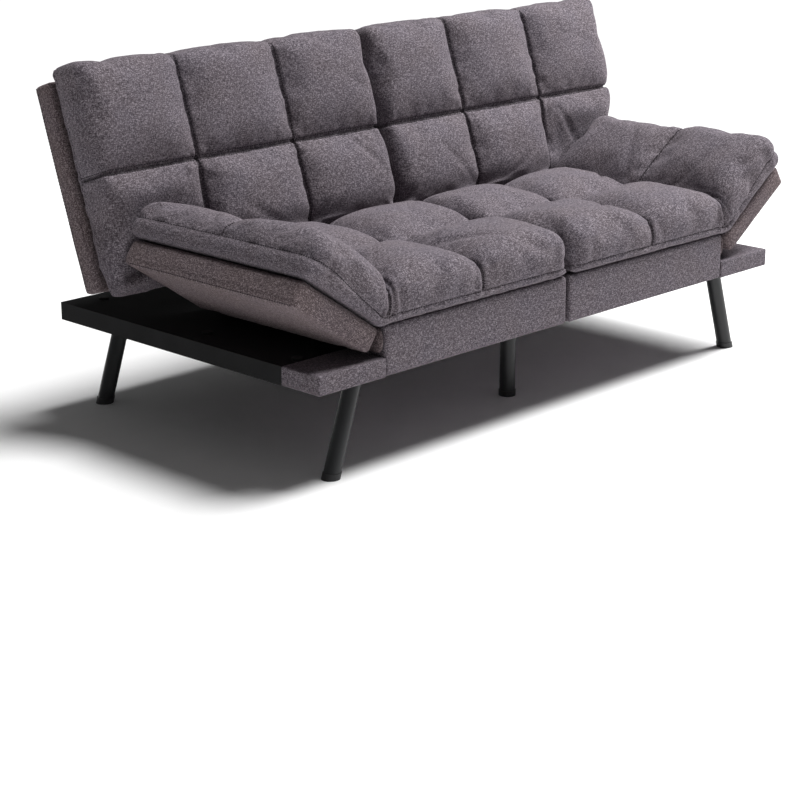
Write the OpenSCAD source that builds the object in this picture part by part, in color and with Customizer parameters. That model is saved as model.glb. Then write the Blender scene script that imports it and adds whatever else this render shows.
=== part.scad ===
// Futon sofa bed, drawn as a sofa: backs up, arms raised.
// Two mirrored halves are bolted side by side on six tube legs.
// Each half has a seat, a back that folds flat and an arm that swings down level.
// Sizes are millimetres. X runs to the right, Y to the back, Z up, floor at Z = 0.

/* [Overall] */
// Width across the two side ledges
ledge_span = 1600; // [1400:10:1900]
// Depth of the base tray, front to back
base_depth = 875; // [760:5:980]
// Height of the tray underside above the floor
leg_height = 214; // [150:2:280]
// Gap between the two halves
half_gap = 11; // [6:1:20]

/* [Seat] */
// Width of one seat box
seat_width = 598; // [480:2:640]
// Depth of the seat box
seat_depth = 548; // [470:2:580]
// Height of the tray that runs under the whole half
tray_height = 42; // [36:1:60]
// Height of the seat box, tray included
box_height = 112; // [98:1:150]
// Thickness of the padded cloth on the seat box
apron_thickness = 6; // [4:1:10]
// Corner radius of the padded cloth
apron_radius = 5; // [2:1:8]
// Thickness of the seat box boards
board_thickness = 18; // [15:1:24]
// Number of slats across each seat box
slat_count = 6; // [4:1:7]
// Width of one slat
slat_width = 50; // [40:1:60]
// Thickness of one slat
slat_thickness = 12; // [9:1:18]

/* [Cushions] */
// Thickness of every mattress cushion
pad_thickness = 104; // [80:2:130]
// How far the mattress overhangs the front of the seat box
pad_overhang = 20; // [10:1:35]
// Radius along the long edges of the mattress
pad_radius = 30; // [15:1:40]
// How far the mattress overhangs the free end of an arm and of a back
pad_end_overhang = 14; // [5:1:30]

/* [Arms] */
// Length of an arm panel from its hinge end to its tip
arm_length = 270; // [200:5:320]
// Depth of an arm panel, front to back
arm_depth = 550; // [440:2:552]
// Thickness of arm and back panels
panel_thickness = 64; // [54:1:72]
// Angle of a raised arm above level
arm_rise = 34; // [20:1:50]
// Extra lift of an arm past its raised position
arm_overlift = 4; // [0:1:8]
// Edge radius of arm and back panels
panel_radius = 14; // [6:1:20]
// Thickness of the padded cloth on arm and back panels
cover_thickness = 7; // [4:1:10]
// Width of the timber round the hollows of arm and back panels
stile_width = 45; // [30:1:60]

/* [Back] */
// Length of a back panel from its hinge end to its top
back_length = 480; // [400:5:560]
// Width across both back panels
back_span = 1780; // [1500:2:2000]
// Lean of the raised back behind upright
back_lean = 19; // [10:1:30]

/* [Legs] */
// Diameter of a leg tube
leg_diameter = 38; // [30:1:45]
// Wall of a leg tube
leg_wall = 2; // [1.2:0.1:4]
// Outward splay of the corner legs
leg_splay = 18.5; // [0:0.5:25]
// Distance from the end of the ledge in to the top of an outer leg
leg_inset_x = 155; // [110:1:240]
// Distance of the front legs behind the front of the tray
leg_inset_y = 56; // [46:1:120]
// Distance of the front centre leg behind the front of the tray
centre_inset_y = 184; // [100:2:260]
// Side of a square leg plate
plate_side = 80; // [60:2:90]
// Thickness of a leg plate
plate_thickness = 4; // [3:1:6]
// Height of a plastic foot cap
cap_height = 14; // [8:1:25]
// Wall of a plastic foot cap
cap_wall = 1.5; // [1:0.1:3]
// Thickness of a foot cap under the tube
cap_floor = 4; // [2:1:8]
// Spread of the plate screws from the plate middle
screw_spread = 28; // [20:1:32]
// Diameter of a plate screw
screw_diameter = 5.5; // [4:0.5:6]
// Diameter of a joining bolt between the halves
bolt_diameter = 8; // [6:1:10]

/* [Hinges] */
// Height of the back hinge pin above the seat box
back_pin_rise = 40; // [30:1:55]
// Distance of the back hinge pin behind the end of the back panel
back_pin_set = 11.5; // [8:0.5:20]
// Gap between the seat box and a lowered back panel
back_gap = 12; // [6:1:20]
// Diameter of a back hinge pin
back_pin = 8; // [6:1:10]
// Thickness of a back hinge plate
back_plate = 4; // [3:0.5:5]
// Gap between the seat box and a lowered arm panel
arm_gap = 17; // [14:1:24]
// Height of the arm hinge pin below the top of the seat box
arm_pin_drop = 13; // [12:1:20]
// Distance of the arm hinge pin outboard of the panel end
arm_pin_set = 4; // [3:0.5:8]
// Diameter of an arm hinge pin
arm_pin = 6; // [5:0.5:8]
// Height of a rubber bumper on the tray
bumper_height = 5.5; // [3:0.5:5.5]

/* [Fits] */
// Space between a lowered panel and the tray under it
rest_space = 6; // [6:0.5:10]
// Running clearance around a hinge pin, on the radius
pin_clearance = 0.05; // [0.02:0.01:0.1]
// Side clearance between moving and fixed hinge plates
side_clearance = 0.4; // [0.3:0.1:1]
// Space between a cushion and the parts under it
pad_clearance = 1; // [0.5:0.5:3]
// Opening kept between seat and back cushions, in degrees
crease_opening = 1.2; // [0.5:0.1:3]

/* [Hidden] */
$fn = 48;
soft_fn = 24;
eps = 0.01;
wrap_depth = 110;
skin = 2;
y_shift = -(base_depth - pad_overhang) / 2;

// Heights
tray_top = leg_height + tray_height;
box_top = leg_height + box_height;
panel_low = box_top - panel_thickness;

// Side to side
inner_x = half_gap / 2;
box_x = inner_x + seat_width;
ledge_x = ledge_span / 2;
arm_x = box_x + arm_gap;
arm_tip_x = arm_x + arm_length;
back_x = back_span / 2;

// Pins, panels lowered
arm_px = arm_x + arm_pin_set;
arm_pz = box_top - arm_pin_drop;
back_y = seat_depth + back_gap;
back_py = back_y + back_pin_set;
back_pz = box_top + back_pin_rise;
back_fold = 90 - back_lean;
pad_low = box_top + pad_clearance;
pad_top = pad_low + pad_thickness;
seat_slant = back_fold / 2 + 3 + crease_opening / 2;
back_slant = back_fold / 2 - 3 + crease_opening / 2;
arm_slant = arm_rise / 2;

// Frame inside the cloth
frame_x0 = inner_x + apron_thickness;
frame_x1 = box_x - apron_thickness;
frame_y0 = apron_thickness;
frame_y1 = seat_depth - apron_thickness;
rail = 22;
open_x0 = frame_x0 + board_thickness;
open_x1 = frame_x1 - board_thickness;
rail_low = leg_height + skin;
rail_top = tray_top - skin;

// Legs
leg_z = leg_height - plate_thickness;
leg_top_x = ledge_x - leg_inset_x;
bumper_x = box_x + (ledge_x - box_x) * 0.7;
leg_foot_x = leg_top_x + leg_height * tan(leg_splay);
rear_leg_y = base_depth - leg_inset_y + 17;
rear_centre_y = base_depth - centre_inset_y;
corner_y = [leg_inset_y, min(rear_leg_y, base_depth - plate_side / 2 - 1)];
centre_y = [centre_inset_y, rear_centre_y];
bolt_y = [60, seat_depth / 2 + 20, base_depth - 60];
bolt_z = leg_height + tray_height / 2;

// Back hinge stations
inner_plate_x = open_x0;
outer_plate_x = open_x1 - back_plate;
inner_move_x = inner_plate_x + back_plate + side_clearance;
outer_move_x = outer_plate_x - side_clearance - back_plate;
pin_head = 3;
disc_r = back_pin / 2 + 8;
notch_r = disc_r + 5;

// Arm hinge stations
arm_station = [70, arm_depth - 70];
lug_r = arm_pin / 2 + 6;
lug_in = 5;
lug_t = 3;
strap_t = 4;
strap_out = 60;
notch_w = 14;

// ---------- helpers ----------

// Box between two corners
module span(a, b) {
    translate(a) cube([b[0] - a[0], b[1] - a[1], b[2] - a[2]]);
}

// Box with its long edges along X rounded
module span_x(a, b, r) {
    hull()
        for (y = [a[1] + r, b[1] - r], z = [a[2] + r, b[2] - r])
            translate([a[0], y, z])
                rotate([0, 90, 0])
                    cylinder(r = r, h = b[0] - a[0], $fn = soft_fn);
}

// Box with its upright edges rounded
module upright(a, b, r) {
    hull()
        for (x = [a[0] + r, b[0] - r], y = [a[1] + r, b[1] - r])
            translate([x, y, a[2]])
                cylinder(r = r, h = b[2] - a[2], $fn = soft_fn);
}

// Box with its long edges along Y rounded
module span_y(a, b, r) {
    hull()
        for (x = [a[0] + r, b[0] - r], z = [a[2] + r, b[2] - r])
            translate([x, a[1], z])
                rotate([-90, 0, 0])
                    cylinder(r = r, h = b[1] - a[1], $fn = soft_fn);
}

// Rod along X
module rod_x(x0, x1, y, z, d) {
    translate([x0, y, z])
        rotate([0, 90, 0])
            cylinder(d = d, h = x1 - x0);
}

// Rod along Y
module rod_y(y0, y1, x, z, d) {
    translate([x, y0, z])
        rotate([-90, 0, 0])
            cylinder(d = d, h = y1 - y0);
}

// Put a right half on its side of the sofa
module right_side() {
    translate([0, y_shift, 0])
        children();
}

// Put a right half mirrored on the left
module left_side() {
    translate([0, y_shift, 0])
        mirror([1, 0, 0])
            children();
}

// Fold a back, drawn level, up to its sofa position
module folded_back() {
    translate([0, back_py, back_pz])
        rotate([back_fold, 0, 0])
            translate([0, -back_py, -back_pz])
                children();
}

// Raise an arm, drawn level, to its sofa position
module raised_arm() {
    translate([arm_px, 0, arm_pz])
        rotate([0, -arm_rise, 0])
            translate([-arm_px, 0, -arm_pz])
                children();
}

// Axis of a corner leg on the right, origin at the top of the leg
module splayed(y) {
    translate([leg_top_x, y, leg_height])
        rotate([0, -leg_splay, 0])
            children();
}

// Screw shanks through the plates of one half
module plate_screw_holes() {
    for (y = corner_y, dx = [-1, 1], dy = [-1, 1])
        translate([leg_top_x + dx * screw_spread, y + dy * screw_spread, leg_z - 1])
            cylinder(d = screw_diameter, h = 34);
    for (y = centre_y, dy = [-1, 1])
        translate([screw_spread, y + dy * screw_spread, leg_z - 1])
            cylinder(d = screw_diameter, h = 34);
}

// Holes for the joining bolts
module bolt_holes() {
    for (y = bolt_y)
        rod_x(-60, 60, y, bolt_z, bolt_diameter);
}

// ---------- base of one half ----------

// Timber rails and leg blocks under the whole half
module tray_frame_shape() {
    difference() {
        union() {
            span([frame_x0, frame_y0, rail_low], [ledge_x - skin, frame_y0 + rail, rail_top]);
            span([frame_x0, base_depth - skin - rail, rail_low], [ledge_x - skin, base_depth - skin, rail_top]);
            span([frame_x0, frame_y0, rail_low], [frame_x0 + rail, base_depth - skin, rail_top]);
            span([ledge_x - skin - rail, frame_y0, rail_low], [ledge_x - skin, base_depth - skin, rail_top]);
            span([frame_x1 - rail, frame_y0, rail_low], [frame_x1, base_depth - skin, rail_top]);
            span([frame_x0, frame_y1 - rail, rail_low], [ledge_x - skin, frame_y1, rail_top]);
            for (y = corner_y)
                span([frame_x1 - eps, y - plate_side / 2 + 2, rail_low],
                     [leg_top_x + plate_side / 2, y + plate_side / 2 - 2, rail_top]);
        }
        plate_screw_holes();
        bolt_holes();
    }
}

// Black board over the ledge and behind the seat box, with its edges turned down
module ledge_cover_shape() {
    difference() {
        union() {
            span([box_x, wrap_depth, leg_height], [ledge_x, base_depth, tray_top]);
            span([inner_x, seat_depth, leg_height], [ledge_x, base_depth, tray_top]);
        }
        span([0, 0, 0], [ledge_x - skin, base_depth - skin, rail_top]);
    }
}

// Cloth wrapped round the front end of the ledge
module front_wrap_shape() {
    difference() {
        span([box_x, 0, leg_height], [ledge_x, wrap_depth, tray_top]);
        span([0, frame_y0, rail_low], [ledge_x - skin, wrap_depth + 1, rail_top]);
        span([0, frame_y0, 0], [ledge_x - 14, wrap_depth + 1, rail_top]);
    }
}

// Thin black cloth closing the underside
module dust_cover_shape() {
    difference() {
        union() {
            span([frame_x0, frame_y0, leg_height], [ledge_x - 14, wrap_depth, rail_low]);
            span([frame_x0, wrap_depth, leg_height], [ledge_x - skin, base_depth - skin, rail_low]);
        }
        plate_screw_holes();
    }
}

// Board box that carries the slats
module seat_frame_shape() {
    difference() {
        union() {
            difference() {
                span([frame_x0, frame_y0, rail_top], [frame_x1, frame_y1, box_top]);
                span([open_x0, frame_y0 + board_thickness, 0], [open_x1, frame_y1 - board_thickness, box_top + 1]);
            }
            for (x = [open_x0, open_x1 - rail])
                span([x - eps, frame_y0 + board_thickness - eps, box_top - slat_thickness - 24],
                     [x + rail + eps, seat_depth - 118, box_top - slat_thickness - 4]);
        }
        for (y = arm_station, z = [-14, 14])
            rod_x(frame_x1 - 16, frame_x1 + 1, y, box_top - 30 + z, 4);
    }
}

// Wooden slats lying across the seat box
module seat_slats_shape() {
    first = frame_y0 + board_thickness + 6;
    last = seat_depth - 122 - slat_width;
    for (i = [0:slat_count - 1])
        translate([open_x0 + 1, first + (last - first) * i / (slat_count - 1), box_top - slat_thickness - 4])
            cube([open_x1 - open_x0 - 2, slat_width, slat_thickness]);
}

// Padded cloth round the seat box, open at the top
module seat_apron_shape() {
    difference() {
        upright([inner_x, 0, leg_height], [box_x, seat_depth, box_top], apron_radius);
        span([frame_x0, frame_y0, 0], [frame_x1, frame_y1, box_top + 20]);
        span([frame_x0, frame_y1 - eps, 0], [ledge_x, seat_depth + 1, tray_top]);
        span([frame_x1 - eps, frame_y0, 0], [ledge_x, seat_depth + 1, tray_top]);
        bolt_holes();
        for (y = arm_station, z = [-14, 14])
            rod_x(frame_x1 - 1, box_x + 1, y, box_top - 30 + z, 4);
    }
}

// Memory foam mattress over the seat
module seat_cushion_shape() {
    top = pad_top - back_pz;
    side = pad_top - arm_pz;
    difference() {
        span_x([inner_x, -pad_overhang, pad_low], [arm_px - 1, back_py - pad_clearance, pad_top], pad_radius);
        // slanted face toward the back cushion
        translate([-1, back_py - pad_clearance, back_pz])
            rotate([seat_slant, 0, 0])
                cube([ledge_x, 300, 300]);
        // slanted face toward the arm cushion
        translate([arm_px - 1, -100, arm_pz])
            rotate([0, -arm_slant, 0])
                cube([300, base_depth, 300]);
        hinge_notches(0);
    }
}

// Room for the hinge plates in the cushions
module hinge_notches(grow) {
    for (x = [inner_plate_x - 4, outer_move_x - pin_head - 3])
        translate([x, back_py - 140, back_pz - 60])
            cube([back_plate * 2 + pin_head + 7 + side_clearance * 2, 140 + notch_r + grow, 60 + notch_r]);
}

// Gathered cloth closing the space between seat box and arm, front and rear
module arm_gussets_shape() {
    intersection() {
        for (y = [12, arm_depth - 14])
            translate([box_x, y, panel_low + panel_thickness / 2])
                scale([1, 0.8, 2.4])
                    sphere(r = 12, $fn = 24);
        span([box_x, 0, 0], [box_x + 30, base_depth, 1000]);
    }
}

// ---------- back hinges ----------

// Fixed plate, drawn in the plane of the box side
module fixed_plate_at(x) {
    difference() {
        union() {
            translate([x, seat_depth - 110, box_top - 56])
                cube([back_plate, 110 - apron_thickness - board_thickness, 68]);
            hull() {
                rod_x(x, x + back_plate, back_py, back_pz, disc_r * 2);
                translate([x, seat_depth - 90, box_top + 2])
                    cube([back_plate, 96, 8]);
            }
        }
        rod_x(x - 1, x + back_plate + 1, back_py, back_pz, back_pin);
    }
}

module back_hinge_plates_shape() {
    fixed_plate_at(inner_plate_x);
    fixed_plate_at(outer_plate_x);
}

// Pin with a head at each end
module back_pin_at(x0, x1) {
    rod_x(x0, x1, back_py, back_pz, back_pin);
    rod_x(x0 - pin_head, x0, back_py, back_pz, back_pin + 6);
    rod_x(x1, x1 + pin_head, back_py, back_pz, back_pin + 6);
}

module back_hinge_pins_shape() {
    stack = back_plate * 2 + side_clearance * 2;
    back_pin_at(inner_plate_x, inner_plate_x + stack);
    back_pin_at(outer_move_x - side_clearance, outer_move_x - side_clearance + stack);
}

// Moving strap, drawn with the back level
module moving_strap_at(x) {
    difference() {
        hull() {
            rod_x(x, x + back_plate, back_py, back_pz, disc_r * 2);
            translate([x, back_py + 8, panel_low + 10])
                cube([back_plate, 70, panel_thickness - 20]);
        }
        rod_x(x - 1, x + back_plate + 1, back_py, back_pz, back_pin + pin_clearance * 2);
    }
}

// ---------- arm hinges ----------

// Fixed bracket: base plate on the seat box and two lugs
module arm_bracket_at(y) {
    difference() {
        union() {
            translate([box_x, y - 12, box_top - 54])
                cube([lug_t, 24, 50]);
            for (s = [-lug_in - lug_t, lug_in])
                hull() {
                    rod_y(y + s, y + s + lug_t, arm_px, arm_pz, lug_r * 2);
                    translate([box_x, y + s, arm_pz - lug_r - 8])
                        cube([lug_t, lug_t, lug_r * 2 + 8]);
                }
        }
        rod_y(y - 20, y + 20, arm_px, arm_pz, arm_pin);
        for (z = [-14, 14])
            rod_x(box_x - 1, box_x + 10, y, box_top - 30 + z, 4);
    }
}

module arm_hinge_brackets_shape() {
    for (y = arm_station)
        arm_bracket_at(y);
}

// Pin with a head at each end
module arm_hinge_pins_shape() {
    reach = lug_in + lug_t;
    for (y = arm_station) {
        rod_y(y - reach, y + reach, arm_px, arm_pz, arm_pin);
        rod_y(y - reach - 2.5, y - reach, arm_px, arm_pz, arm_pin + 4);
        rod_y(y + reach, y + reach + 2.5, arm_px, arm_pz, arm_pin + 4);
    }
}

// Moving strap, drawn with the arm level
module arm_strap_at(y) {
    difference() {
        union() {
            hull() {
                rod_y(y - strap_t / 2, y + strap_t / 2, arm_px, arm_pz, lug_r * 2);
                translate([arm_x + 26, y - strap_t / 2, panel_low + 12])
                    cube([5, strap_t, panel_thickness - 24]);
            }
            translate([arm_x + 26, y - strap_t / 2, panel_low + 12])
                cube([strap_out, strap_t, panel_thickness - 24]);
        }
        rod_y(y - 20, y + 20, arm_px, arm_pz, arm_pin + pin_clearance * 2);
    }
}

// Hinge notches in an arm panel
module arm_notches() {
    for (y = arm_station)
        span([arm_x - 1, y - notch_w, panel_low - 1], [arm_px + lug_r + 7, y + notch_w, box_top + 1]);
}

// ---------- arm of one half, drawn level ----------

module arm_core_level() {
    difference() {
        span([arm_x + cover_thickness, cover_thickness, panel_low + cover_thickness],
             [arm_tip_x - cover_thickness, arm_depth - cover_thickness, box_top - cover_thickness]);
        span([arm_x + strap_out + 35, cover_thickness + stile_width, 0],
             [arm_tip_x - cover_thickness - stile_width, arm_depth - cover_thickness - stile_width, 1000]);
        arm_notches();
        for (y = arm_station)
            arm_strap_at(y);
    }
}

module arm_cover_level() {
    difference() {
        span_y([arm_x, 0, panel_low], [arm_tip_x, arm_depth, box_top], panel_radius);
        span([arm_x + cover_thickness, cover_thickness, panel_low + cover_thickness],
             [arm_tip_x - cover_thickness, arm_depth - cover_thickness, box_top - cover_thickness]);
        arm_notches();
    }
}

module arm_cushion_level() {
    difference() {
        span_x([arm_px + 1, -pad_overhang, box_top], [arm_tip_x + pad_end_overhang, arm_depth - 2, pad_top], pad_radius);
        translate([arm_px + 1, -100, arm_pz])
            rotate([0, arm_slant + arm_overlift, 0])
                translate([-300, 0, 0])
                    cube([300, base_depth, 300]);
        // rounded over the free end
        translate([arm_tip_x + pad_end_overhang - 26, -100, pad_top - 26])
            rotate([0, 45, 0])
                translate([0, 0, 18])
                    cube([80, base_depth, 80], center = false);
    }
}

// ---------- back of one half, drawn level ----------

module back_straps_level() {
    moving_strap_at(inner_move_x);
    moving_strap_at(outer_move_x);
}

module back_core_level() {
    difference() {
        span([inner_x + cover_thickness, back_y + cover_thickness, panel_low + cover_thickness],
             [back_x - cover_thickness, back_y + back_length - cover_thickness, box_top - cover_thickness]);
        middle = (inner_x + back_x) / 2;
        low = back_y + 110;
        high = back_y + back_length - cover_thickness - stile_width;
        span([inner_x + cover_thickness + stile_width, low, 0], [middle - stile_width / 2, high, 1000]);
        span([middle + stile_width / 2, low, 0], [back_x - cover_thickness - stile_width, high, 1000]);
        strap_slots();
    }
}

// Slots that take the moving straps
module strap_slots() {
    for (x = [inner_move_x, outer_move_x])
        span([x, back_y - 1, panel_low - 1], [x + back_plate, back_py + 84, box_top + 1]);
}

module back_cover_level() {
    difference() {
        span_x([inner_x, back_y, panel_low], [back_x, back_y + back_length, box_top], panel_radius);
        span([inner_x + cover_thickness, back_y + cover_thickness, panel_low + cover_thickness],
             [back_x - cover_thickness, back_y + back_length - cover_thickness, box_top - cover_thickness]);
        strap_slots();
    }
}

module back_cushion_level() {
    difference() {
        span_x([inner_x, back_py + pad_clearance, box_top],
               [back_x + 9, back_y + back_length + pad_end_overhang, pad_top], pad_radius);
        translate([-1, back_py + pad_clearance, back_pz])
            rotate([-back_slant, 0, 0])
                translate([0, -300, 0])
                    cube([ledge_x * 2, 300, 300]);
        strap_notches();
    }
}

// Room for the straps and pin heads in the back cushion
module strap_notches() {
    for (x = [inner_plate_x - 4, outer_move_x - pin_head - 3])
        translate([x, back_py - 20, box_top - 1])
            cube([back_plate * 2 + pin_head + 7 + side_clearance * 2, 20 + 72, back_pin_rise + notch_r + 1]);
}

// ---------- nodes of the base ----------

module right_tray_frame() {
    color("#8a6b45") right_side() tray_frame_shape();
}

module left_tray_frame() {
    color("#8a6b45") left_side() tray_frame_shape();
}

module right_ledge_cover() {
    color("#17171a") right_side() ledge_cover_shape();
}

module left_ledge_cover() {
    color("#17171a") left_side() ledge_cover_shape();
}

module right_front_wrap() {
    color("#56505a") right_side() front_wrap_shape();
}

module left_front_wrap() {
    color("#56505a") left_side() front_wrap_shape();
}

module right_dust_cover() {
    color("#1c1c1e") right_side() dust_cover_shape();
}

module left_dust_cover() {
    color("#1c1c1e") left_side() dust_cover_shape();
}

module right_seat_frame() {
    color("#a5835a") right_side() seat_frame_shape();
}

module left_seat_frame() {
    color("#a5835a") left_side() seat_frame_shape();
}

module right_seat_slats() {
    color("#c8a878") right_side() seat_slats_shape();
}

module left_seat_slats() {
    color("#c8a878") left_side() seat_slats_shape();
}

module right_seat_apron() {
    color("#56505a") right_side() seat_apron_shape();
}

module left_seat_apron() {
    color("#56505a") left_side() seat_apron_shape();
}

module right_seat_cushion() {
    color("#655e69") right_side() seat_cushion_shape();
}

module left_seat_cushion() {
    color("#655e69") left_side() seat_cushion_shape();
}

module right_arm_gussets() {
    color("#4c4650") right_side() arm_gussets_shape();
}

module left_arm_gussets() {
    color("#4c4650") left_side() arm_gussets_shape();
}

// Rubber discs that lowered arms and backs come down on
module tray_bumpers() {
    color("#101012")
        translate([0, y_shift, 0])
            for (s = [-1, 1]) {
                for (y = [arm_station[0] + 60, arm_station[1] - 60])
                    translate([s * bumper_x, y, tray_top])
                        cylinder(d = 24, h = bumper_height);
                for (x = [back_x * 0.14, back_x * 0.8])
                    translate([s * x, base_depth - 50, tray_top])
                        cylinder(d = 24, h = bumper_height);
            }
}

// Tube of a corner leg, cut level at both ends
module corner_leg(y) {
    difference() {
        splayed(y)
            translate([0, 0, -leg_height * 1.3])
                cylinder(d = leg_diameter, h = leg_height * 1.5);
        splayed(y)
            translate([0, 0, -leg_height * 1.4])
                cylinder(d = leg_diameter - leg_wall * 2, h = leg_height * 1.7);
        translate([0, y - 100, leg_z])
            cube([2000, 200, 400]);
        translate([0, y - 100, cap_floor - 400])
            cube([2000, 200, 400]);
    }
}

// Tube of an upright leg
module centre_leg(y) {
    translate([0, y, cap_floor])
        difference() {
            cylinder(d = leg_diameter, h = leg_z - cap_floor);
            translate([0, 0, -1])
                cylinder(d = leg_diameter - leg_wall * 2, h = leg_height);
        }
}

module front_left_leg() {
    color("#1d1d20") left_side() corner_leg(corner_y[0]);
}

module front_right_leg() {
    color("#1d1d20") right_side() corner_leg(corner_y[0]);
}

module rear_left_leg() {
    color("#1d1d20") left_side() corner_leg(corner_y[1]);
}

module rear_right_leg() {
    color("#1d1d20") right_side() corner_leg(corner_y[1]);
}

module front_centre_leg() {
    color("#1d1d20") right_side() centre_leg(centre_y[0]);
}

module rear_centre_leg() {
    color("#1d1d20") right_side() centre_leg(centre_y[1]);
}

// Cap on the foot of a corner leg
module corner_cap(y) {
    difference() {
        splayed(y)
            translate([0, 0, -leg_height * 1.3])
                cylinder(d = leg_diameter + cap_wall * 2, h = leg_height * 1.3);
        difference() {
            splayed(y)
                translate([0, 0, -leg_height * 1.3])
                    cylinder(d = leg_diameter, h = leg_height * 1.5);
            translate([0, y - 100, cap_floor - 400])
                cube([2000, 200, 400]);
        }
        translate([0, y - 100, cap_height])
            cube([2000, 200, 800]);
        translate([0, y - 100, -400])
            cube([2000, 200, 400]);
    }
}

// Cap on the foot of an upright leg
module centre_cap(y) {
    translate([0, y, 0])
        difference() {
            cylinder(d = leg_diameter + cap_wall * 2, h = cap_height);
            translate([0, 0, cap_floor])
                cylinder(d = leg_diameter, h = cap_height);
        }
}

module foot_caps() {
    color("#141416") {
        for (y = corner_y) {
            right_side() corner_cap(y);
            left_side() corner_cap(y);
        }
        for (y = centre_y)
            right_side() centre_cap(y);
    }
}

// Square plate with its screw holes
module leg_plate(x, y) {
    difference() {
        translate([x - plate_side / 2, y - plate_side / 2, leg_z])
            cube([plate_side, plate_side, plate_thickness]);
        for (dx = [-1, 1], dy = [-1, 1])
            translate([x + dx * screw_spread, y + dy * screw_spread, leg_z - 1])
                cylinder(d = screw_diameter, h = plate_thickness + 2);
    }
}

module leg_plates() {
    color("#2a2a2e")
        translate([0, y_shift, 0]) {
            for (y = corner_y) {
                leg_plate(leg_top_x, y);
                leg_plate(-leg_top_x, y);
            }
            for (y = centre_y)
                leg_plate(0, y);
        }
}

// Screw with a round head
module leg_screw(x, y) {
    translate([x, y, leg_z - 3])
        cylinder(d = screw_diameter + 5, h = 3);
    translate([x, y, leg_z - 3])
        cylinder(d = screw_diameter, h = 33);
}

module leg_screws() {
    color("#8d8d92")
        translate([0, y_shift, 0])
            for (dx = [-1, 1], dy = [-1, 1]) {
                for (y = corner_y, s = [-1, 1])
                    leg_screw(s * leg_top_x + dx * screw_spread, y + dy * screw_spread);
                for (y = centre_y)
                    leg_screw(dx * screw_spread, y + dy * screw_spread);
            }
}

// Bolts that hold the halves together
module join_bolts() {
    reach = frame_x0 + rail;
    color("#9a9aa0")
        translate([0, y_shift, 0])
            for (y = bolt_y) {
                rod_x(-reach - 9, reach, y, bolt_z, bolt_diameter);
                rod_x(reach, reach + 5, y, bolt_z, bolt_diameter + 6);
            }
}

module join_nuts() {
    reach = frame_x0 + rail;
    color("#9a9aa0")
        translate([0, y_shift, 0])
            for (y = bolt_y)
                difference() {
                    rod_x(-reach - 7, -reach, y, bolt_z, bolt_diameter + 6);
                    rod_x(-reach - 8, -reach + 1, y, bolt_z, bolt_diameter);
                }
}

module join_spacers() {
    color("#26262a")
        translate([0, y_shift, 0])
            for (y = bolt_y) {
                // behind the seat box the rails are bare, so the spacer is longer
                gap = y > seat_depth ? frame_x0 : inner_x;
                difference() {
                    rod_x(-gap, gap, y, bolt_z, bolt_diameter + 14);
                    rod_x(-gap - 1, gap + 1, y, bolt_z, bolt_diameter);
                }
            }
}

module right_back_hinge_plates() {
    color("#5b5b60") right_side() back_hinge_plates_shape();
}

module left_back_hinge_plates() {
    color("#5b5b60") left_side() back_hinge_plates_shape();
}

module right_back_hinge_pins() {
    color("#b0b0b6") right_side() back_hinge_pins_shape();
}

module left_back_hinge_pins() {
    color("#b0b0b6") left_side() back_hinge_pins_shape();
}

module right_arm_hinge_brackets() {
    color("#5b5b60") right_side() arm_hinge_brackets_shape();
}

module left_arm_hinge_brackets() {
    color("#5b5b60") left_side() arm_hinge_brackets_shape();
}

module right_arm_hinge_pins() {
    color("#b0b0b6") right_side() arm_hinge_pins_shape();
}

module left_arm_hinge_pins() {
    color("#b0b0b6") left_side() arm_hinge_pins_shape();
}

// ---------- nodes of the backs ----------

module right_back_core() {
    color("#a5835a") right_side() folded_back() back_core_level();
}

module left_back_core() {
    color("#a5835a") left_side() folded_back() back_core_level();
}

module right_back_cover() {
    color("#56505a") right_side() folded_back() back_cover_level();
}

module left_back_cover() {
    color("#56505a") left_side() folded_back() back_cover_level();
}

// Room that the raised arm takes from the lower outer corner of the back cushion
module arm_room() {
    lean = arm_rise + arm_overlift;
    high = arm_pz + (arm_tip_x + pad_end_overhang - arm_px) * sin(lean) + (pad_top - arm_pz) * cos(lean);
    inward = (pad_top - arm_pz) / cos(arm_slant + arm_overlift) * sin(arm_rise - arm_slant);
    span([arm_px - inward - 4, -100, 0], [ledge_x * 2, arm_depth + 4, high + 6]);
}

module right_back_cushion() {
    color("#655e69") right_side()
        difference() {
            folded_back() back_cushion_level();
            arm_room();
        }
}

module left_back_cushion() {
    color("#655e69") left_side()
        difference() {
            folded_back() back_cushion_level();
            arm_room();
        }
}

module right_back_hinge_straps() {
    color("#6e6e74") right_side() folded_back() back_straps_level();
}

module left_back_hinge_straps() {
    color("#6e6e74") left_side() folded_back() back_straps_level();
}

// ---------- nodes of the arms ----------

module right_arm_core() {
    color("#a5835a") right_side() raised_arm() arm_core_level();
}

module left_arm_core() {
    color("#a5835a") left_side() raised_arm() arm_core_level();
}

module right_arm_cover() {
    color("#56505a") right_side() raised_arm() arm_cover_level();
}

module left_arm_cover() {
    color("#56505a") left_side() raised_arm() arm_cover_level();
}

module right_arm_cushion() {
    color("#655e69") right_side() raised_arm() arm_cushion_level();
}

module left_arm_cushion() {
    color("#655e69") left_side() raised_arm() arm_cushion_level();
}

module right_arm_hinge_straps() {
    color("#6e6e74") right_side() raised_arm() for (y = arm_station) arm_strap_at(y);
}

module left_arm_hinge_straps() {
    color("#6e6e74") left_side() raised_arm() for (y = arm_station) arm_strap_at(y);
}

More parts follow.
